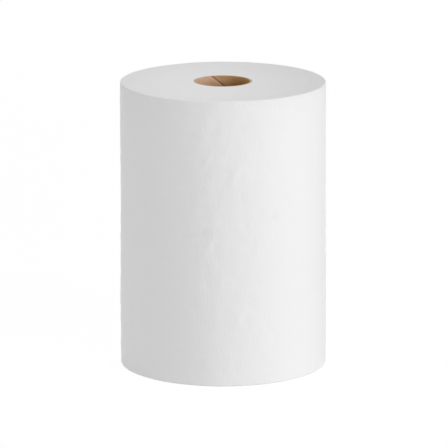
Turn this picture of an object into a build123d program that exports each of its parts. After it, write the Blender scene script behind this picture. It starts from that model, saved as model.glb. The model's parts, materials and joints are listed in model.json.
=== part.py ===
from build123d import *
from math import pi, radians, tan
import os

# A roll of plain paper towel wound on a paperboard core, standing on its end.
# The origin is the centre of the base, +Z is the winding axis, and lengths are millimetres.

# Paper web
roll_height = 203.2  # width of the web
roll_diameter = 146.0  # full roll, measured over the tail
sheet_thickness = 0.2  # creped one-ply towel, pressed flat by the turns over it
rim_bevel = 0.7  # the edges of the last turns are worn back
tail_azimuth = 110.0  # the loose end lies round the far side

# Line that the turns draw on each end of the roll
turn_lines = 8  # turns that stand out from their neighbours
line_width = 0.5
line_depth = 0.2
line_margin = 0.5  # from the line's middle to the core, and to the bevel

# Core, a tube glued up from spiral strips of paperboard
core_bore = 38.4
core_wall = 1.5
ply_count = 3
winding_angle = 39.4  # of the strips, to the tube's circumference
seam_gap = 0.5  # between neighbouring turns of the inmost strip
seam_azimuth = 115.5  # where that gap meets the upper end

roll_radius = roll_diameter / 2
bore_radius = core_bore / 2
core_radius = bore_radius + core_wall

# A spiral is drawn as half turns about two centres, a quarter of its pitch to each side of the
# axis. The first half turn leaves the tail's radius, and the second comes back one pitch out.
half_turns = ((-1, tail_azimuth), (1, tail_azimuth + 180))
tail_direction = Vector(1, 0, 0).rotate(Axis.Z, tail_azimuth)

os.makedirs("parts", exist_ok=True)


def spiral_plane(side, azimuth, pitch):
    """Upright plane where a half turn starts: origin at its centre, X outwards and Y upwards."""
    outward = Vector(1, 0, 0).rotate(Axis.Z, azimuth)
    return Plane(
        origin=tail_direction * (side * pitch / 4),
        x_dir=outward,
        z_dir=outward.cross(Vector(0, 0, 1)),
    )


# Paper: every turn of the web in one solid, whose outline is the spiral's last turn
line_start = core_radius + line_margin
line_end = roll_radius - rim_bevel - line_margin
line_pitch = (line_end - line_start) / turn_lines

with BuildPart() as paper_roll:
    # Last turn, which ends one sheet proud of the turn under it
    for side, azimuth in half_turns:
        section = spiral_plane(side, azimuth, sheet_thickness)
        turn_radius = roll_radius - (2 - side) * sheet_thickness / 4
        with BuildSketch(section) as web:
            Rectangle(turn_radius, roll_height, align=(Align.MIN, Align.MIN))
            chamfer(web.vertices().group_by(Axis.X)[-1], rim_bevel)
        revolve(axis=Axis(section.origin, (0, 0, 1)), revolution_arc=180)

    # Hole, with the first turn tight on the core
    with BuildSketch():
        Circle(core_radius)
    extrude(amount=roll_height, mode=Mode.SUBTRACT)

    # Line of the turns: a V groove in both ends that winds out from the core to the rim
    for side, azimuth in half_turns:
        section = spiral_plane(side, azimuth, line_pitch)
        first_radius = line_start + (2 + side) * line_pitch / 4
        with BuildSketch(section):
            for turn in range(turn_lines):
                radius = first_radius + turn * line_pitch
                with Locations((radius, 0), (radius, roll_height)):
                    Polygon(
                        (-line_width / 2, 0),
                        (0, -line_depth),
                        (line_width / 2, 0),
                        (0, line_depth),
                        align=None,
                    )
        revolve(
            axis=Axis(section.origin, (0, 0, 1)),
            revolution_arc=180,
            mode=Mode.SUBTRACT,
        )
paper_roll.part.label = "paper_roll"

# Core: the tube, then the gap that the inmost strip leaves between its turns
seam_lead = pi * core_bore * tan(radians(winding_angle))
seam_overrun = 2 * seam_gap  # the gap is cut past both ends of the tube
seam_start = seam_azimuth - 360 * (roll_height + seam_overrun) / seam_lead

with BuildPart() as core:
    with BuildSketch():
        Circle(core_radius)
        Circle(bore_radius, mode=Mode.SUBTRACT)
    extrude(amount=roll_height)

    with BuildLine(Plane.XY.offset(-seam_overrun).rotated((0, 0, seam_start))) as seam:
        Helix(seam_lead, roll_height + 2 * seam_overrun, bore_radius)
    seam_outward = Vector(1, 0, 0).rotate(Axis.Z, seam_start)
    with BuildSketch(Plane(seam.line @ 0, x_dir=seam_outward, z_dir=seam.line % 0)):
        Rectangle(2 * core_wall / ply_count, seam_gap)
    sweep(path=seam.line, is_frenet=True, mode=Mode.SUBTRACT)
core.part.label = "core"

export_step(paper_roll.part, "parts/paper_roll.step")
export_step(core.part, "parts/core.step")
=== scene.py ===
import json
import math
import bpy
import numpy as np
from mathutils import Matrix, Vector


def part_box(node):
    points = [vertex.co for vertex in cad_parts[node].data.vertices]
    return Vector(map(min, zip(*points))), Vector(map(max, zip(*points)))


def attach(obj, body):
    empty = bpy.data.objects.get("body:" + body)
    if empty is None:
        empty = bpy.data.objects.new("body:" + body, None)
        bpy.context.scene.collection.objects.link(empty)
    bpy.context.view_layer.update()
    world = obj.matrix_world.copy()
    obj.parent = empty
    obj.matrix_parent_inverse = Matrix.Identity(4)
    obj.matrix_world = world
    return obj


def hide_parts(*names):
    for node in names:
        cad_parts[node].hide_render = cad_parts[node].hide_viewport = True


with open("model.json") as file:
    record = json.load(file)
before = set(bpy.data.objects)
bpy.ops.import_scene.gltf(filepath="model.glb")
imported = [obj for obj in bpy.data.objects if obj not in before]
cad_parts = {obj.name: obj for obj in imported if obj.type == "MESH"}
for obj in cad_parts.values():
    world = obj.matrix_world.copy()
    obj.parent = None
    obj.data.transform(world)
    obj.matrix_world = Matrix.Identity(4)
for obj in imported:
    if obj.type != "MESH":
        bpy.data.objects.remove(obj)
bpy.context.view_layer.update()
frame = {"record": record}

# A full roll of plain paper towel on its paperboard core, standing on a white studio floor.
# Lengths are metres in the frame's own axes: +Z is the winding axis and -Y faces the camera.
paperLow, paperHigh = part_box("paper_roll")
mounts = {m["name"]: m for m in frame["record"]["mounts"]}
rollHeight = paperHigh.z
rollRadius = (paperHigh.y - paperLow.y) / 2
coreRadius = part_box("core")[1].x
boreRadius = mounts["core_bore"]["dims"]["r_mm"] / 1000
mm = 0.001
fullTurn = 2 * math.pi
scene = bpy.context.scene
scene.view_settings.view_transform = "Standard"
print("frame: roll", round(rollRadius * 2, 4), "m across and", round(rollHeight, 4), "m tall")


# Mesh helpers

# A grid of rows by columns becomes quads; it may close on itself along rows, columns or both.
def gridFaces(rows, columns, closeRows=False, closeColumns=False):
    r = np.arange(rows if closeRows else rows - 1)
    c = np.arange(columns if closeColumns else columns - 1)
    r, c = np.meshgrid(r, c, indexing="ij")
    nextR, nextC = (r + 1) % rows, (c + 1) % columns
    corners = [r * columns + c, r * columns + nextC, nextR * columns + nextC, nextR * columns + c]
    return np.stack(corners, -1).reshape(-1, 4)


# Puts points and quads into a new mesh object, smooth but for edges sharper than the angle.
def makePiece(name, points, quads, sharpAngle, material, attributes=None):
    mesh = bpy.data.meshes.new(name)
    mesh.vertices.add(len(points))
    mesh.vertices.foreach_set("co", points.astype(np.float32).ravel())
    mesh.loops.add(quads.size)
    mesh.loops.foreach_set("vertex_index", quads.astype(np.int32).ravel())
    mesh.polygons.add(len(quads))
    mesh.polygons.foreach_set("loop_start", np.arange(0, quads.size, 4, dtype=np.int32))
    mesh.polygons.foreach_set("use_smooth", np.ones(len(quads), bool))
    mesh.update(calc_edges=True)
    mesh.validate()
    mesh.set_sharp_from_angle(angle=sharpAngle)
    for key, values in (attributes or {}).items():
        layer = mesh.attributes.new(key, "FLOAT", "POINT")
        layer.data.foreach_set("value", values.astype(np.float32).ravel())
    mesh.materials.append(material)
    piece = bpy.data.objects.new(name, mesh)
    scene.collection.objects.link(piece)
    return piece


# Goes from 0 to 1 between the two ends with no corner: 3t squared less 2t cubed.
def easeBetween(value, start, end):
    t = np.clip((value - start) / (end - start), 0, 1)
    return t * t * (3 - 2 * t)


# Smooth noise along a line: a sum of waves between the two lengths, with seeded phases, lengths that stray
# by up to a tenth, and heights that go with the root of the length.
def lineWaves(place, longest, shortest, count, seed):
    rng = np.random.default_rng(seed)
    lengths = np.geomspace(longest, shortest, count) * rng.uniform(0.9, 1.1, count)
    phases = rng.uniform(0, fullTurn, count)
    heights = np.sqrt(lengths / longest)
    waves = np.cos(place[..., None] * fullTurn / lengths + phases) * heights
    return waves.sum(-1) / math.sqrt((heights ** 2).sum() / 2)


# Smooth noise over the unrolled side: a sum of waves with seeded leans and phases, each with a whole count
# round the roll so that it closes, and with a height of its length to the power of growth. cos(a + b) is
# split into products, so that rows meet columns at once.
def sideWaves(height, angle, shortest, longest, growth, count, seed):
    rng = np.random.default_rng(seed)
    lengths = np.exp(rng.uniform(math.log(shortest), math.log(longest), count))
    leans = rng.uniform(0, math.pi, count)
    phases = rng.uniform(0, fullTurn, count)
    countsRound = np.round(fullTurn * rollRadius * np.cos(leans) / lengths)
    heights = (lengths / longest) ** growth
    up = height[:, None] * fullTurn * np.sin(leans) / lengths
    across = angle[:, None] * countsRound + phases
    total = (np.cos(up) * heights) @ np.cos(across).T - (np.sin(up) * heights) @ np.sin(across).T
    return total / math.sqrt((heights ** 2).sum() / 2)


# Creases and dents on the unrolled side. Each is a bell, narrow across its line and long along it: its
# depth times exp(-(across / width) squared - (along / reach) squared).
def bells(height, angle, marks):
    place, level, lean, reach, width, depth = marks
    sideways = (angle[:, None] - place + math.pi) % fullTurn - math.pi
    sideways = sideways[None] * rollRadius
    rise = (height[:, None] - level)[:, None]
    along = sideways * np.cos(lean) + rise * np.sin(lean)
    across = rise * np.cos(lean) - sideways * np.sin(lean)
    return (np.exp(-(across / width) ** 2 - (along / reach) ** 2) * depth).sum(-1)


# Material helpers

# A new material with its node tree and its one shader
def newMaterial(name):
    material = bpy.data.materials.new(name)
    material.use_nodes = True
    tree = material.node_tree
    tree.nodes.clear()
    output = tree.nodes.new("ShaderNodeOutputMaterial")
    shader = tree.nodes.new("ShaderNodeBsdfPrincipled")
    tree.links.new(shader.outputs["BSDF"], output.inputs["Surface"])
    return material, tree, shader


# A new node, whose inputs are values or other nodes' outputs
def addNode(tree, kind, inputs=None, **settings):
    node = tree.nodes.new(kind)
    for key, value in settings.items():
        setattr(node, key, value)
    for key, value in (inputs or {}).items():
        if isinstance(value, bpy.types.NodeSocket):
            tree.links.new(value, node.inputs[key])
        else:
            node.inputs[key].default_value = value
    return node


def mathNode(tree, operation, first, second=0.0, third=0.0):
    return addNode(tree, "ShaderNodeMath", {0: first, 1: second, 2: third}, operation=operation).outputs[0]


def noiseNode(tree, vector, scale, detail=2.0, roughness=0.5, distortion=0.0):
    node = addNode(tree, "ShaderNodeTexNoise", {
        "Vector": vector, "Scale": scale, "Detail": detail, "Roughness": roughness,
        "Distortion": distortion})
    return node.outputs["Fac"]


# Noise along one number, such as a radius
def lineNoise(tree, number, detail, roughness=0.6):
    node = addNode(tree, "ShaderNodeTexNoise", {
        "W": number, "Scale": 1.0, "Detail": detail, "Roughness": roughness}, noise_dimensions="1D")
    return node.outputs["Fac"]


def stretched(tree, vector, stretch):
    return addNode(tree, "ShaderNodeMapping", {"Vector": vector, "Scale": stretch}).outputs["Vector"]


# Inputs 6 and 7 and output 2 are the Mix node's colour sockets.
def mixColour(tree, factor, first, second):
    node = addNode(tree, "ShaderNodeMix", data_type="RGBA")
    for socket, value in ((node.inputs[0], factor), (node.inputs[6], first), (node.inputs[7], second)):
        if isinstance(value, bpy.types.NodeSocket):
            tree.links.new(value, socket)
        else:
            socket.default_value = value
    return node.outputs[2]


# Straight from one pair of numbers to the other, and level outside the first pair
def remap(tree, value, fromPair, toPair):
    node = addNode(tree, "ShaderNodeMapRange", {
        "Value": value, "From Min": fromPair[0], "From Max": fromPair[1], "To Min": toPair[0],
        "To Max": toPair[1]})
    return node.outputs["Result"]


# 1 for the rays of the camera, of reflections and through glass, and 0 for those that light other things
def seenDirectly(tree):
    path = addNode(tree, "ShaderNodeLightPath").outputs
    mirrored = mathNode(tree, "MAXIMUM", path["Is Glossy Ray"], path["Is Transmission Ray"])
    return mathNode(tree, "MAXIMUM", path["Is Camera Ray"], mirrored)


# Distance from the roll's axis, from the two level coordinates
def axisDistance(tree, place):
    parts = addNode(tree, "ShaderNodeSeparateXYZ", {0: place}).outputs
    square = mathNode(tree, "MULTIPLY", parts[0], parts[0])
    return mathNode(tree, "SQRT", mathNode(tree, "MULTIPLY_ADD", parts[1], parts[1], square))


# Towel paper: white and matt. The side has the sheet's upright crepe, the ends have the edges of its turns.
paperLook = {
    "colour": (0.875, 0.875, 0.875, 1),
    "shade": (0.845, 0.845, 0.845, 1),  # in the crepe's troughs and between sheet edges
    "sideShade": 0.08,  # share of that shade on the side
    "endShade": 0.9,
    "crepePitch": 0.9 * mm,  # size of the noise's cells; its lines lie about twice as far apart
    "crepeLength": 6 * mm,
    "crepeHeight": 0.15 * mm,
    "finePitch": 0.36 * mm,
    "fineLength": 1.8 * mm,
    "fineHeight": 0.016 * mm,
    "cloudSize": 4.5 * mm,  # soft clouds where the web is thicker or thinner
    "cloudHeight": 0.05 * mm,
    "linePitch": 1.0 * mm,  # of the lines between turns that show on the ends
    "bandPitch": 2.4 * mm,  # of groups of turns that stand higher or lower
    "lineHeight": 0.06 * mm,
    "bandHeight": 0.07 * mm,
    "wander": 1.2 * mm,  # how far a ring strays from a true circle
    "wanderScale": 45.0,  # of the noise that moves it, per metre
    "patchScale": 55.0,  # of the patches in which the bands show
    "noiseSpan": (0.35, 0.65),  # between which most of a noise lies
    "lineSpan": (0.3, 0.5),  # of the lines, from the full shade to none
    "bandSpan": (0.1, 0.5),  # of the bands, and by what the shade is multiplied at both
    "bandShade": (1.5, 0.4),
    "roughness": 0.92,
    "gloss": 0.15,
}


# The bump's height is a sum of noises, times how much the surface is side or end, and so is the shade.
def makeTowelPaper(look):
    material, tree, shader = newMaterial("towelPaper")
    place = addNode(tree, "ShaderNodeTexCoord").outputs["Object"]
    onEnd = addNode(tree, "ShaderNodeAttribute", attribute_name="onEnd").outputs["Fac"]
    onSide = mathNode(tree, "SUBTRACT", 1.0, onEnd)

    # side: noise drawn out along the axis, so that it runs up the side in short broken lines
    across, along = 1 / look["crepePitch"], 1 / look["crepeLength"]
    cells = stretched(tree, place, (across, across, along))
    crepe = noiseNode(tree, cells, 1.0, detail=1.0, roughness=0.4, distortion=0.15)
    across, along = 1 / look["finePitch"], 1 / look["fineLength"]
    cells = stretched(tree, place, (across, across, along))
    fine = noiseNode(tree, cells, 1.0, detail=1.5, roughness=0.6, distortion=0.4)
    cloud = noiseNode(tree, place, 1 / look["cloudSize"], detail=1.5, roughness=0.5, distortion=0.8)
    sideHeight = mathNode(tree, "MULTIPLY", crepe, look["crepeHeight"])
    sideHeight = mathNode(tree, "MULTIPLY_ADD", fine, look["fineHeight"], sideHeight)
    sideHeight = mathNode(tree, "MULTIPLY_ADD", cloud, look["cloudHeight"], sideHeight)

    # ends: noise along the distance from the axis, which strays a little so that no ring is a true circle
    stray = mathNode(tree, "MULTIPLY", noiseNode(tree, place, look["wanderScale"]), look["wander"])
    radius = mathNode(tree, "ADD", axisDistance(tree, place), stray)
    lines = lineNoise(tree, mathNode(tree, "DIVIDE", radius, look["linePitch"]), detail=3.0)
    bands = lineNoise(tree, mathNode(tree, "DIVIDE", radius, look["bandPitch"]), detail=2.0)
    patches = noiseNode(tree, place, look["patchScale"], detail=1.0)
    patches = remap(tree, patches, look["noiseSpan"], (0.0, 1.0))
    bands = mathNode(tree, "MULTIPLY", bands, patches)
    endHeight = mathNode(tree, "MULTIPLY", lines, look["lineHeight"])
    endHeight = mathNode(tree, "MULTIPLY_ADD", bands, look["bandHeight"], endHeight)

    height = mathNode(tree, "ADD", mathNode(tree, "MULTIPLY", sideHeight, onSide),
                      mathNode(tree, "MULTIPLY", endHeight, onEnd))
    bump = addNode(tree, "ShaderNodeBump", {"Height": height, "Distance": 1.0, "Strength": 1.0})
    tree.links.new(bump.outputs["Normal"], shader.inputs["Normal"])

    # colour: painted shade lies in the crepe's troughs and between sheet edges, and the side is darker
    # towards its rims and, as painted shade, in a dent and a crease
    trough = remap(tree, crepe, look["noiseSpan"], (look["sideShade"], 0.0))
    trough = mathNode(tree, "MULTIPLY", trough, onSide)
    ringShade = mathNode(tree, "MULTIPLY", remap(tree, lines, look["lineSpan"], (1.0, 0.0)),
                         remap(tree, bands, look["bandSpan"], look["bandShade"]))
    ringShade = mathNode(tree, "MULTIPLY", ringShade, look["endShade"])
    shade = mathNode(tree, "MULTIPLY_ADD", ringShade, onEnd, trough)
    greyAndPaintedShade = addNode(tree, "ShaderNodeAttribute", attribute_name="greyAndPaintedShade").outputs["Fac"]
    shade = mathNode(tree, "MULTIPLY_ADD", greyAndPaintedShade, onSide, shade)
    colour = mixColour(tree, shade, look["colour"], look["shade"])
    tree.links.new(colour, shader.inputs["Base Color"])
    shader.inputs["Roughness"].default_value = look["roughness"]
    shader.inputs["Specular IOR Level"].default_value = look["gloss"]
    return material


# Paperboard of the core: unbleached brown, with fibres along the wound strips and a paler, rough cut end
boardLook = {
    "paintedLightTone": (0.78, 0.55, 0.405, 1),  # the strip's two tones, which take turns along it: both are the board's brown, the pale one lighter as painted light on the bore's lit left wall, the deep one darker as painted shade on its shaded right wall
    "paintedShadeTone": (0.48, 0.26, 0.058, 1),
    "toneLength": 109.4 * mm,  # of one pale stretch of painted light and one deep stretch of painted shade, and where a pale one has its middle
    "toneStart": 326 * mm,
    "dark": (0.40, 0.22, 0.09, 1),
    "edge": (0.80, 0.62, 0.45, 1),  # of the strip, beside the seam
    "cut": (0.57, 0.47, 0.37, 1),
    "glue": (0.45, 0.36, 0.28, 1),  # between the plies of the cut end
    # painted shade in the seam's groove, much darker than the board
    "seam": (0.18, 0.11, 0.06, 1),
    "fibreWidth": 0.32 * mm,
    "fibreLength": 3.2 * mm,
    "fibreHeight": 0.03 * mm,
    "fibreShare": 0.55,  # of the fibres in the blend of dark and tones; the rest is mottle
    "mottleScale": 160.0,  # per metre
    "gritScale": 4500.0,
    "noiseSpan": (0.3, 0.7),  # between which most of a noise lies
    "toneLeast": 0.3,  # share of the tones where the board is darkest
    "edgeShare": 0.45,  # of the edge's colour
    "plyDepth": 0.5 * mm,
    "glueShare": 0.8,  # of the glue's colour in its line
    "glueSpan": (0.08, 0.2),  # distances from the line between which it fades, in plies
    "glueWaver": 0.1,  # by which the grit moves it
    "cutRoughness": 1.5,  # of the grit on the cut ends, next to the fibres
    "roughness": 0.8,
    "gloss": 0.12,
}


# Fibres and mottle blend the dark colour with the strip's two tones, which follow a cosine along it: a pale
# tone of painted light and a deep tone of painted shade, which lie on the lit and the shaded side of the
# bore.
def makeCoreBoard(look):
    material, tree, shader = newMaterial("coreBoard")
    place = addNode(tree, "ShaderNodeTexCoord").outputs["Object"]
    given = {}
    for name in ("onCut", "inSeam", "plyEdge", "alongStrip", "acrossStrip"):
        given[name] = addNode(tree, "ShaderNodeAttribute", attribute_name=name).outputs["Fac"]

    # fibres: noise in the strip's own two lengths, drawn out along the strip
    strip = addNode(tree, "ShaderNodeCombineXYZ", {0: given["alongStrip"], 1: given["acrossStrip"]})
    strip = stretched(tree, strip.outputs[0], (1 / look["fibreLength"], 1 / look["fibreWidth"], 1.0))
    fibres = noiseNode(tree, strip, 1.0, detail=3.0, roughness=0.6, distortion=0.5)
    mottle = noiseNode(tree, place, look["mottleScale"], detail=3.0, roughness=0.55)
    grit = noiseNode(tree, place, look["gritScale"], detail=2.0, roughness=0.6)
    blend = mathNode(tree, "ADD", remap(tree, fibres, look["noiseSpan"], (0.0, look["fibreShare"])),
                     remap(tree, mottle, look["noiseSpan"], (0.0, 1 - look["fibreShare"])))
    blend = mathNode(tree, "MULTIPLY_ADD", blend, 1 - look["toneLeast"], look["toneLeast"])
    # the cosine gives the share of the pale tone: painted light on the bore's lit side and painted shade on
    # its shaded side
    turn = mathNode(tree, "DIVIDE", mathNode(tree, "SUBTRACT", given["alongStrip"], look["toneStart"]),
                    look["toneLength"] / fullTurn)
    paintedLightShare = mathNode(tree, "MULTIPLY_ADD", mathNode(tree, "COSINE", turn), 0.5, 0.5)
    wall = mixColour(tree, blend, look["dark"], mixColour(tree, paintedLightShare, look["paintedShadeTone"], look["paintedLightTone"]))
    edge = mathNode(tree, "MULTIPLY", given["plyEdge"], look["edgeShare"])
    wall = mixColour(tree, edge, wall, look["edge"])

    # cut end: thin glue lines one ply apart, counted from the bore
    depth = mathNode(tree, "DIVIDE", mathNode(tree, "SUBTRACT", axisDistance(tree, place), boreRadius),
                     look["plyDepth"])
    offLine = mathNode(tree, "PINGPONG", depth, 0.5)
    offLine = mathNode(tree, "MULTIPLY_ADD", grit, look["glueWaver"], offLine)
    glueLine = remap(tree, offLine, look["glueSpan"], (look["glueShare"], 0.0))
    cut = mixColour(tree, glueLine, look["cut"], look["glue"])
    colour = mixColour(tree, given["onCut"], wall, cut)
    # the seam's groove is painted dark: painted shade
    colour = mixColour(tree, given["inSeam"], colour, look["seam"])
    tree.links.new(colour, shader.inputs["Base Color"])

    rough = mathNode(tree, "ADD", fibres, mottle)
    cutGrit = mathNode(tree, "MULTIPLY", grit, given["onCut"])
    rough = mathNode(tree, "MULTIPLY_ADD", cutGrit, look["cutRoughness"], rough)
    height = mathNode(tree, "MULTIPLY", rough, look["fibreHeight"])
    bump = addNode(tree, "ShaderNodeBump", {"Height": height, "Distance": 1.0, "Strength": 1.0})
    tree.links.new(bump.outputs["Normal"], shader.inputs["Normal"])
    shader.inputs["Roughness"].default_value = look["roughness"]
    shader.inputs["Specular IOR Level"].default_value = look["gloss"]
    return material


towelPaper = makeTowelPaper(paperLook)
coreBoard = makeCoreBoard(boardLook)
print("materials: towel paper and core board")


# Wound turns: the whole web but for its loose end
turns = {
    "sheet": 0.22 * mm,
    "tailAzimuth": math.radians(110),
    "flapLength": 26 * mm,  # of the loose end, which is its own piece
    "flapShare": 0.35,  # of it, up to its cut edge, below which the side has sunk by a whole sheet
    "rimRadius": 0.9 * mm,
    "columns": 480,
    "sideRows": 122,
    "endRows": 36,
    "rimRows": 7,
    "crowding": 1.35,  # power by which the rows of an end lie closer together near the rim
    "sharpAngle": math.radians(50),
    "cone": 0.7 * mm,  # by which the foot's radius is larger than the top's
    # the side's three kinds of waves: their height, and then the shortest, the longest, the power of the
    # length that the height goes with, the count and the seed
    "unevenness": 0.078 * mm,  # soft hills and hollows
    "unevenWaves": (6 * mm, 20 * mm, 1.2, 150, 3),
    "slack": 0.10 * mm,  # slower swells
    "slackWaves": (40 * mm, 130 * mm, 0.8, 24, 5),
    "rimWaver": 0.072 * mm,  # of the web's edges at the rims
    "rimWaves": (9 * mm, 50 * mm, 0.9, 40, 11),
    "rimSqueeze": 0.15,  # share of the height that counts for these, so that they are long up the side
    "rimZone": (0.2 * mm, 9 * mm),  # distances from a rim between which they give way to the others
    "slackAtRims": 0.4,  # share of the slower swells that is left there
    "ringHeight": 0.03125 * mm,  # of the widest rings of turns that stand proud on the ends
    "ringWaves": (3 * mm, 14 * mm, 9),  # the narrowest, the widest and their count
    "ringStray": (0.4, 1.1),  # least and most that they stray from true circles, in radians of a wave
    "ringFade": 0.4,  # half of what they lose in height on one side of the roll
    "ringSeeds": (8, 9),  # of the upper and the lower end
    "endSink": 0.06 * mm,  # how deep the ends lie below their edges, less the height of the rings
    "sinkShare": 0.05,  # of an end's width, over which it sinks, at the rim and at the core
    "edgeGrey": (0.4, 0.9),  # how grey the side is at its foot and at its top
    "greyReach": 15 * mm,  # how far in that reaches
}
flapAngle = turns["flapLength"] / rollRadius

# Marks of handling on the side: slanted creases all round and a few small dents
handling = {
    "seed": 21,
    "fromRims": 20 * mm,  # least distance of a random mark's middle from the rims
    "creases": 64,
    "creaseLean": (25, 75),  # degrees, to either side
    "creaseReach": (5 * mm, 15 * mm),
    "creaseWidth": (1.3 * mm, 2.4 * mm),
    "creaseDepth": 0.07 * mm,
    "dents": 12,
    "dentWidth": (1.2 * mm, 2.6 * mm),
    "dentStretch": 1.4,  # a dent's length over its width
    "dentDepth": (0.06 * mm, 0.14 * mm),
    # on the near side: azimuth in degrees, height in mm, lean in degrees, then reach, width and depth in
    # mm, and how much painted shade lies in the mark
    "frontMarks": (
        (-60.4, 119.6, 0, 2.9, 2.3, -0.35, 1.0),
        (-104.8, 107.5, 16, 9.5, 2.3, -0.50, 0.35),
        (-97.0, 103, 55, 5.0, 2.3, 0.32, 0),
        (-82.2, 153.5, 51, 8.5, 2.5, 0.52, 0),
        (-99.4, 160, 62, 9.0, 2.5, 0.50, 0),
        (-87.0, 170, 65, 4.5, 2.4, 0.28, 0),
        (-77.5, 113, 80, 4.5, 3.4, -0.45, 0),
        (-82.0, 49, 49, 6.0, 2.3, 0.34, 0),
        (-91.5, 74, 65, 4.0, 2.3, 0.28, 0),
    ),
}


# Radius of the last turn: it grows by one sheet over the turn from the tail round to the loose end's
# root, and sinks back by one sheet under the loose end, so that the outline closes.
def outlineRadius(angle):
    turned = np.mod(angle - turns["tailAzimuth"], fullTurn)
    grown = turned / (fullTurn - flapAngle)
    under = 1 - easeBetween(turned, fullTurn - flapAngle, fullTurn - turns["flapShare"] * flapAngle)
    return rollRadius - turns["sheet"] * (1 - np.minimum(grown, 1) * under)


# Azimuth, height, lean, reach, width, depth and painted shade of each crease and dent, as seven rows:
# creases and dents at random, and then the ones of the near side
def handlingMarks():
    rng = np.random.default_rng(handling["seed"])
    count, dents = handling["creases"], handling["dents"]
    lowest, highest = handling["fromRims"], rollHeight - handling["fromRims"]
    lean = rng.choice([-1, 1], count) * np.radians(rng.uniform(*handling["creaseLean"], count))
    creases = [rng.uniform(0, fullTurn, count), rng.uniform(lowest, highest, count), lean,
               rng.uniform(*handling["creaseReach"], count), rng.uniform(*handling["creaseWidth"], count),
               rng.uniform(-1, 1, count) * handling["creaseDepth"], np.zeros(count)]
    width = rng.uniform(*handling["dentWidth"], dents)
    small = [rng.uniform(0, fullTurn, dents), rng.uniform(lowest, highest, dents), np.zeros(dents),
             width * handling["dentStretch"], width, -rng.uniform(*handling["dentDepth"], dents),
             np.zeros(dents)]
    degree = math.radians(1)
    front = np.array(handling["frontMarks"]).T * np.array([degree, mm, degree, mm, mm, mm, 1])[:, None]
    return np.concatenate([creases, small, front], axis=1)


sideMarks = handlingMarks()
depthRows = [0, 1, 2, 3, 4, 5]  # of the marks, for bells of their depth
paintedShadeRows = [0, 1, 2, 3, 4, 6]  # and for bells of the painted shade in them


# How far the side stands out at each height and angle: a slight cone, uneven web, slow swells, creases and
# dents. All but the cone fade at the rims, the swells only in part, and the edges waver there instead.
def sideRelief(height, angle):
    fromRim = np.minimum(height, rollHeight - height)
    held = easeBetween(fromRim, *turns["rimZone"])[:, None]
    uneven = sideWaves(height, angle, *turns["unevenWaves"]) * turns["unevenness"]
    slow = sideWaves(height, angle, *turns["slackWaves"]) * turns["slack"]
    waver = sideWaves(height * turns["rimSqueeze"], angle, *turns["rimWaves"]) * turns["rimWaver"]
    marks = bells(height, angle, sideMarks[depthRows])
    cone = (0.5 - height / rollHeight)[:, None] * turns["cone"]
    slackShare = turns["slackAtRims"] + (1 - turns["slackAtRims"]) * held
    return cone + (uneven + marks) * held + slow * slackShare + waver * (1 - held)


# How grey the side is: by exp(-distance / reach) from each cut edge, and by a bell of painted shade in some
# of the marks
def sideGreyAndPaintedShade(height, angle):
    foot, top = turns["edgeGrey"]
    reach = turns["greyReach"]
    edges = np.exp(-height / reach) * foot + np.exp((height - rollHeight) / reach) * top
    return edges[:, None] + bells(height, angle, sideMarks[paintedShadeRows])


# How high an end stands at each radius and angle: a sum of ring waves whose height goes with the root of
# their width. Each strays from a true circle by one to three slow waves round the roll, and its height
# changes by one or two, so that the rings close.
def endRelief(radius, angle, seed):
    rng = np.random.default_rng(seed)
    total = np.zeros(radius.shape)
    narrowest, widest, count = turns["ringWaves"]
    fade = turns["ringFade"]
    for width in np.geomspace(narrowest, widest, count):
        phase, turn = rng.uniform(0, fullTurn, 2)
        stray = rng.uniform(*turns["ringStray"]) * np.cos(rng.integers(1, 4) * angle + turn)
        strength = 1 - fade + fade * np.cos(rng.integers(1, 3) * angle + phase)
        total += np.cos(radius * fullTurn / width + phase + stray) * strength * math.sqrt(width / widest)
    return total * turns["ringHeight"]


# Section rows from the core's foot, out along the base, round the rim, up the side, round the upper rim
# and back in to the core, as inward share (0 at the outline, 1 at the core), inset of the rim, height and
# how much the row belongs to an end. Rows lie closer together near the rim.
def turnsSection():
    rim, h = turns["rimRadius"], rollHeight
    reach = np.linspace(1, 0, turns["endRows"])[:-1] ** turns["crowding"]
    quarter = np.linspace(0, math.pi / 2, turns["rimRows"])
    side = np.linspace(rim, h - rim, turns["sideRows"])[1:-1]
    zero = np.zeros_like
    inward = np.concatenate([reach, zero(quarter), zero(side), zero(quarter), reach[::-1]])
    inset = np.concatenate([zero(reach) + rim, rim * (1 - np.sin(quarter)), zero(side),
                            rim * (1 - np.cos(quarter)), zero(reach) + rim])
    height = np.concatenate([zero(reach), rim * (1 - np.cos(quarter)), side,
                             h - rim * (1 - np.sin(quarter)), zero(reach) + h])
    onEnd = np.concatenate([zero(reach) + 1, np.linspace(1, 0, len(quarter)), zero(side),
                            np.linspace(0, 1, len(quarter)), zero(reach) + 1])
    return inward, inset, height, onEnd


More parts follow.
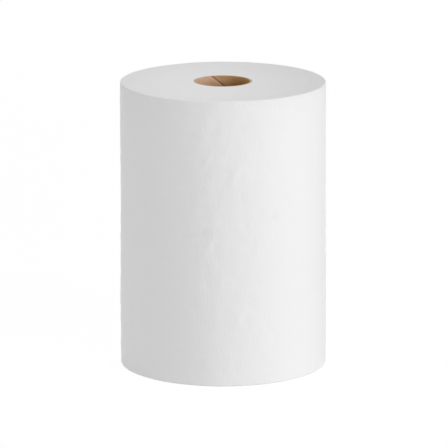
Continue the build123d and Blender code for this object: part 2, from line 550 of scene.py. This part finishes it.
# The section is carried round the axis: its side lies on the outline plus the relief, and its ends run in
# from there to the core, sunk by their rings.
def makeTurns():
    inward, inset, height, onEnd = turnsSection()
    angle = np.arange(turns["columns"]) * fullTurn / turns["columns"]
    outline = outlineRadius(angle)[None] - inset[:, None] + sideRelief(height, angle)
    radius = outline * (1 - inward[:, None]) + coreRadius * inward[:, None]
    sunk = easeBetween(inward, 0.0, turns["sinkShare"]) * easeBetween(1 - inward, 0.0, turns["sinkShare"])
    everyAngle = np.broadcast_to(angle, radius.shape)
    upper, lower = (np.maximum(turns["endSink"] - endRelief(radius, everyAngle, seed), 0)
                    for seed in turns["ringSeeds"])
    z = height[:, None] + np.where(height[:, None] > rollHeight / 2, -upper, lower) * sunk[:, None]
    points = np.stack([radius * np.cos(angle), radius * np.sin(angle), z], -1).reshape(-1, 3)
    quads = gridFaces(len(height), turns["columns"], closeRows=True, closeColumns=True)
    attributes = {"onEnd": np.repeat(onEnd, turns["columns"]), "greyAndPaintedShade": sideGreyAndPaintedShade(height, angle).ravel()}
    return makePiece("woundTurns", points, quads, turns["sharpAngle"], towelPaper, attributes)


woundTurns = makeTurns()
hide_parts("paper_roll")
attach(woundTurns, "root")
print("wound turns:", len(woundTurns.data.polygons), "quads")


# Loose end: the last of the web, on the far side, which lies on the roll and lifts a little at its edge
flap = {
    "columns": 64,
    "rows": 90,
    "rimRows": 6,
    "rimStart": math.radians(12),  # how far round the rim its first and last rows lie
    # places along it are shares of its length, from 0 at its root to 1 at its cut edge
    "start": -0.03,  # a little before its root, below the last turn
    "sink": 0.035 * mm,  # how deep it starts there
    "sinkEnd": 0.12,  # where it has come out
    "lift": 0.34 * mm,
    "leastLift": 0.03 * mm,
    "liftPlaces": (0.35, 1.15),  # between which it rises by its lift
    "liftWaver": 0.11 * mm,  # how much the lift changes up the roll, by the waves of the next line
    "liftWaves": (150 * mm, 30 * mm, 5, 17),  # the longest, the shortest, their count and the seed
    "edgeWaver": 0.25 * mm,  # by which the cut edge strays from a straight line
    "edgeWaves": (120 * mm, 12 * mm, 6, 23),
}


# A thin slab round the roll. Its outer face starts flush with the last turn and lifts towards the tail,
# more at some heights than at others; its inner face is one sheet deeper. Both have the side's own relief.
# The cut edge strays a little by slow waves, which reach into the sheet with the square of the share.
def makeFlap():
    rim = turns["rimRadius"]
    share = np.linspace(flap["start"], 1, flap["columns"])
    angle = turns["tailAzimuth"] - flapAngle * (1 - share)
    quarter = np.linspace(flap["rimStart"], math.pi / 2, flap["rimRows"])
    side = np.linspace(rim, rollHeight - rim, flap["rows"])[1:-1]
    rimRise, rimInset = rim * (1 - np.cos(quarter)), rim * (1 - np.sin(quarter))
    height = np.concatenate([rimRise, side, rollHeight - rimRise[::-1]])
    inset = np.concatenate([rimInset, side * 0, rimInset[::-1]])
    edge = flap["edgeWaver"] / rollRadius * lineWaves(height, *flap["edgeWaves"])
    lift = flap["lift"] + flap["liftWaver"] * lineWaves(height, *flap["liftWaves"])
    lift = np.maximum(lift, flap["leastLift"])[:, None] * easeBetween(share, *flap["liftPlaces"])
    under = flap["sink"] * (1 - easeBetween(share, flap["start"], flap["sinkEnd"]))
    outer = rollRadius - inset[:, None] + sideRelief(height, angle) + lift - under
    inner = outer - turns["sheet"]
    ring = np.concatenate([outer, inner[:, ::-1]], axis=1)
    edgeAngle = angle + edge[:, None] * np.maximum(share, 0) ** 2
    ringAngle = np.concatenate([edgeAngle, edgeAngle[:, ::-1]], axis=1)
    z = np.broadcast_to(height[:, None], ring.shape)
    points = np.stack([ring * np.cos(ringAngle), ring * np.sin(ringAngle), z], -1).reshape(-1, 3)
    loop, rows = 2 * flap["columns"], len(height)
    walls = gridFaces(rows, loop, closeColumns=True)
    i = np.arange(flap["columns"] - 1)
    cap = np.stack([i, loop - 1 - i, loop - 2 - i, i + 1], -1)
    quads = np.concatenate([walls, cap, cap[:, ::-1] + (rows - 1) * loop])
    greyAndPaintedShade = sideGreyAndPaintedShade(height, angle)
    greyAndPaintedShade = np.concatenate([greyAndPaintedShade, greyAndPaintedShade[:, ::-1]], axis=1)
    attributes = {"onEnd": np.zeros(len(points)), "greyAndPaintedShade": greyAndPaintedShade.ravel()}
    return makePiece("looseEnd", points, quads, turns["sharpAngle"], towelPaper, attributes)


looseEnd = makeFlap()
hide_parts("paper_roll")
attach(looseEnd, "root")
print("loose end:", len(looseEnd.data.polygons), "quads")


# Core tube: inner wall with the seam of the spiral strip, and two cut ends
tube = {
    "windingAngle": math.radians(39.4),
    "seamAzimuth": math.radians(113.5),  # where the seam meets the upper end
    "seamWidth": 0.5 * mm,
    "seamFlanks": (0.3, 0.7),  # its sides rise between these shares of its width, off its middle
    "seamDepth": 0.4 * mm,
    "seamCut": 0.6 * mm,  # how far into the cut ends it is cut
    "plyEdge": 1.6 * mm,  # from the seam to the raised edge of the strip below it
    "plyEdgeWidth": 0.28 * mm,
    "plyStep": 0.05 * mm,
    "stepRise": (-0.3 * mm, 0.3 * mm),  # about that edge, between which the step rises
    "stepFall": (2 * mm, 8 * mm),  # and between which it sinks back
    "rows": 220,
    "columns": 200,
    "crowding": 0.8,  # how much closer together the columns lie at the seam, from 0 to less than 1
    "cutRows": 7,
    "outerRows": 24,
    "fray": 0.05 * mm,  # roughness of the cut ends
    "fraySeed": 31,
    "sharpAngle": math.radians(40),
}
seamLead = fullTurn * boreRadius * math.tan(tube["windingAngle"])


# Section rows up the bore, out over the upper cut end, down the outside and back in over the lower cut
# end, as height, radius and how much the row belongs to a cut end
def tubeSection():
    wallZ = np.linspace(0, rollHeight, tube["rows"])
    cutRadii = np.linspace(boreRadius, coreRadius, tube["cutRows"])[1:]
    outerZ = np.linspace(rollHeight, 0, tube["outerRows"])[1:-1]
    zero = np.zeros_like
    z = np.concatenate([wallZ, zero(cutRadii) + rollHeight, outerZ, zero(cutRadii)])
    radius = np.concatenate([zero(wallZ) + boreRadius, cutRadii, zero(outerZ) + coreRadius, cutRadii[::-1]])
    onCut = np.concatenate([zero(wallZ), zero(cutRadii) + 1, zero(outerZ), zero(cutRadii) + 1])
    return z, radius, onCut


# The wall is a grid whose columns follow the winding: each is a helix that climbs one lead a turn. Columns
# lie closer together by the seam, which is a groove, and beside it the wall rises by a small step.
def makeTube():
    z, radius, onCut = tubeSection()
    t = np.linspace(0, 1, tube["columns"], endpoint=False)
    across = fullTurn * (t - tube["crowding"] * np.sin(fullTurn * t) / fullTurn)
    # the grid turns with the seam's helix inside, and outside by what is left over of whole turns
    turned = (z - rollHeight) / seamLead * fullTurn
    leftOver = (round(rollHeight / seamLead) - rollHeight / seamLead) * fullTurn
    turned = np.where((radius == coreRadius) & (z > 0), leftOver * (1 - z / rollHeight), turned)
    wall = (radius < boreRadius + tube["seamCut"])[:, None]
    stripWidth = boreRadius * math.sin(tube["windingAngle"])
    fromSeam = np.minimum(across, fullTurn - across) * stripWidth
    gap = 1 - easeBetween(fromSeam / tube["seamWidth"], *tube["seamFlanks"])
    inSeam = gap[None, :] * wall
    offEdge = across * stripWidth - tube["plyEdge"]
    edge = np.exp(-(offEdge / tube["plyEdgeWidth"]) ** 2)[None, :] * wall
    step = easeBetween(offEdge, *tube["stepRise"]) * (1 - easeBetween(offEdge, *tube["stepFall"]))
    step = step * tube["plyStep"]
    # the bore narrows by the step, and in the seam it widens to the groove
    r = radius[:, None] - step[None, :] * (radius == boreRadius)[:, None]
    offSeam = inSeam < 0.01  # where nothing is left of the groove
    r = np.maximum(r, boreRadius + tube["seamDepth"] * inSeam - step[None, :] * offSeam)
    angle = across[None, :] + tube["seamAzimuth"] + turned[:, None]
    rng = np.random.default_rng(tube["fraySeed"])
    fray = rng.uniform(0, tube["fray"], r.shape) * ((radius > boreRadius) & (radius < coreRadius))[:, None]
    height = np.where(z[:, None] > rollHeight / 2, z[:, None] - fray, z[:, None] + fray)
    points = np.stack([r * np.cos(angle), r * np.sin(angle), height], -1)
    quads = gridFaces(len(z), tube["columns"], closeRows=True, closeColumns=True)[:, ::-1]
    rise, run = math.sin(tube["windingAngle"]), math.cos(tube["windingAngle"])
    along = z[:, None] / rise + across[None, :] * boreRadius * run
    attributes = {"onCut": np.repeat(onCut, tube["columns"]), "inSeam": inSeam.ravel(),
                  "plyEdge": edge.ravel(), "alongStrip": along.ravel(),
                  "acrossStrip": np.tile(across * stripWidth, len(z))}
    return makePiece("coreTube", points.reshape(-1, 3), quads, tube["sharpAngle"], coreBoard, attributes)


coreTube = makeTube()
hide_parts("core")
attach(coreTube, "root")
print("core tube:", len(coreTube.data.polygons), "quads")


# Stage: a white floor that keeps a faint shadow and is dim inside the core, and a white world
stage = {
    "floorSize": 16.0,
    "floorAlbedo": 0.9,
    "whiteLevel": 1.05,  # of the plain white that the camera sees on it
    "whiteShare": 0.9,  # how much of that it sees, next to the lit floor
    "whiteRadius": rollRadius * 0.9,  # where that share is reached, which begins at the core's radius
    "ambient": 0.30,  # level at which the white world lights the roll
}


# The floor is lit as a matt white, and the camera sees it whiter with the distance from the axis.
def makeFloor():
    half = stage["floorSize"] / 2
    mesh = bpy.data.meshes.new("floor")
    corners = [(-half, -half, 0), (half, -half, 0), (half, half, 0), (-half, half, 0)]
    mesh.from_pydata(corners, [], [(0, 1, 2, 3)])
    floor = bpy.data.objects.new("floor", mesh)
    scene.collection.objects.link(floor)
    material = bpy.data.materials.new("floorWhite")
    material.use_nodes = True
    tree = material.node_tree
    tree.nodes.clear()
    output = tree.nodes.new("ShaderNodeOutputMaterial")
    lit = addNode(tree, "ShaderNodeBsdfDiffuse", {"Color": (stage["floorAlbedo"],) * 3 + (1,)})
    white = addNode(tree, "ShaderNodeEmission", {"Color": (1, 1, 1, 1), "Strength": stage["whiteLevel"]})
    seen = seenDirectly(tree)
    place = addNode(tree, "ShaderNodeTexCoord").outputs["Object"]
    share = remap(tree, axisDistance(tree, place), (coreRadius, stage["whiteRadius"]),
                  (0.0, stage["whiteShare"]))
    mix = addNode(tree, "ShaderNodeMixShader", {0: mathNode(tree, "MULTIPLY", seen, share),
                                                1: lit.outputs[0], 2: white.outputs[0]})
    tree.links.new(mix.outputs[0], output.inputs["Surface"])
    mesh.materials.append(material)


# The world is plain white to the camera and lights the roll at the ambient level.
def makeWorld():
    world = bpy.data.worlds.new("studio")
    scene.world = world
    world.use_nodes = True
    tree = world.node_tree
    tree.nodes.clear()
    output = tree.nodes.new("ShaderNodeOutputWorld")
    seen = seenDirectly(tree)
    level = mathNode(tree, "MULTIPLY_ADD", seen, 1 - stage["ambient"], stage["ambient"])
    back = addNode(tree, "ShaderNodeBackground", {"Color": (1, 1, 1, 1), "Strength": level})
    tree.links.new(back.outputs[0], output.inputs["Surface"])


makeFloor()
makeWorld()


# Lamps: (azimuth from the camera towards the right, elevation, distance, width, height, level).
# Level 1 lights a white face that looks straight at the lamp to white.
lamps = {
    "frontLamp": (20, 4, 6.0, 1.7, 2.1, 0.305),
    "keyLamp": (45, 18, 2.8, 0.8, 1.0, 0.225),
    "sideLamp": (65, 15, 6.0, 1.7, 2.1, 0.139),
    "rightEdgeLamp": (105, 4, 6.0, 1.7, 2.1, 0.107),
    "fillLamp": (-75, 4, 6.0, 1.7, 2.1, 0.049),
    "leftEdgeLamp": (-105, 4, 6.0, 1.7, 2.1, 0.402),
    "backLamp": (165, 18, 6.0, 1.7, 2.1, 0.25),
}
topLamp = {
    "place": (-0.020, -0.02, 0.14),  # from the middle of the upper end
    "width": 0.06,
    "depth": 0.26,
    "level": 0.416,
}


# A lamp's power is its level times the squares of pi and of its distance.
def addLamp(name, place, target, width, height, level):
    data = bpy.data.lights.new(name, "AREA")
    data.shape = "RECTANGLE"
    data.size, data.size_y = width, height
    reach = (target - place).length
    data.energy = level * math.pi ** 2 * reach ** 2
    lamp = bpy.data.objects.new(name, data)
    lamp.location = place
    lamp.rotation_mode = "QUATERNION"
    lamp.rotation_quaternion = (target - place).to_track_quat("-Z", "Y")
    lamp.visible_camera = False
    scene.collection.objects.link(lamp)


# All lamps but the top one look at the roll's middle, and that one looks straight down.
def makeLamps():
    for name, (azimuth, elevation, distance, width, height, level) in lamps.items():
        a, e = math.radians(azimuth), math.radians(elevation)
        away = Vector((math.sin(a) * math.cos(e), -math.cos(a) * math.cos(e), math.sin(e)))
        addLamp(name, middle + away * distance, middle, width, height, level)
    x, y, rise = topLamp["place"]
    addLamp("topLamp", Vector((x, y, rollHeight + rise)), Vector((x, y, rollHeight)), topLamp["width"],
            topLamp["depth"], topLamp["level"])


middle = Vector((0, 0, rollHeight / 2))
makeLamps()
print("stage and lamps")


# Camera: fitted to the photograph's rims, with the roll's middle at the pixel where it lies there
view = {
    "lens": 346.5,
    "sensor": 36,
    "farthest": 50.0,
    "distance": 3.062,
    "elevation": math.radians(13.03),
    "roll": math.radians(-0.072),
    "middlePixel": (223.07, 221.42),
    "frameSide": 448,
}


# The camera looks down at its elevation, rolled a little about its view.
def makeCamera():
    data = bpy.data.cameras.new("camera")
    data.lens = view["lens"]
    data.sensor_width = view["sensor"]
    data.clip_end = view["farthest"]
    camera = bpy.data.objects.new("camera", data)
    e, r = view["elevation"], view["roll"]
    back = Vector((0, -math.cos(e), math.sin(e)))
    level = Vector((1, 0, 0))
    upright = back.cross(level)
    right = level * math.cos(r) + upright * math.sin(r)
    up = upright * math.cos(r) - level * math.sin(r)
    # the aim moves off the middle by as much as the photograph's middle lies off its centre
    pixel = view["distance"] * data.sensor_width / data.lens / view["frameSide"]
    offX = (view["frameSide"] / 2 - view["middlePixel"][0]) * pixel
    offY = (view["middlePixel"][1] - view["frameSide"] / 2) * pixel
    aim = middle + right * offX + up * offY
    place = middle + back * view["distance"]
    away = (place - aim).normalized()
    right = (right - away * right.dot(away)).normalized()
    up = away.cross(right)
    turn = Matrix((right, up, away)).transposed().to_4x4()
    camera.matrix_world = Matrix.Translation(place) @ turn
    scene.collection.objects.link(camera)
    scene.camera = camera


makeCamera()
print("camera")
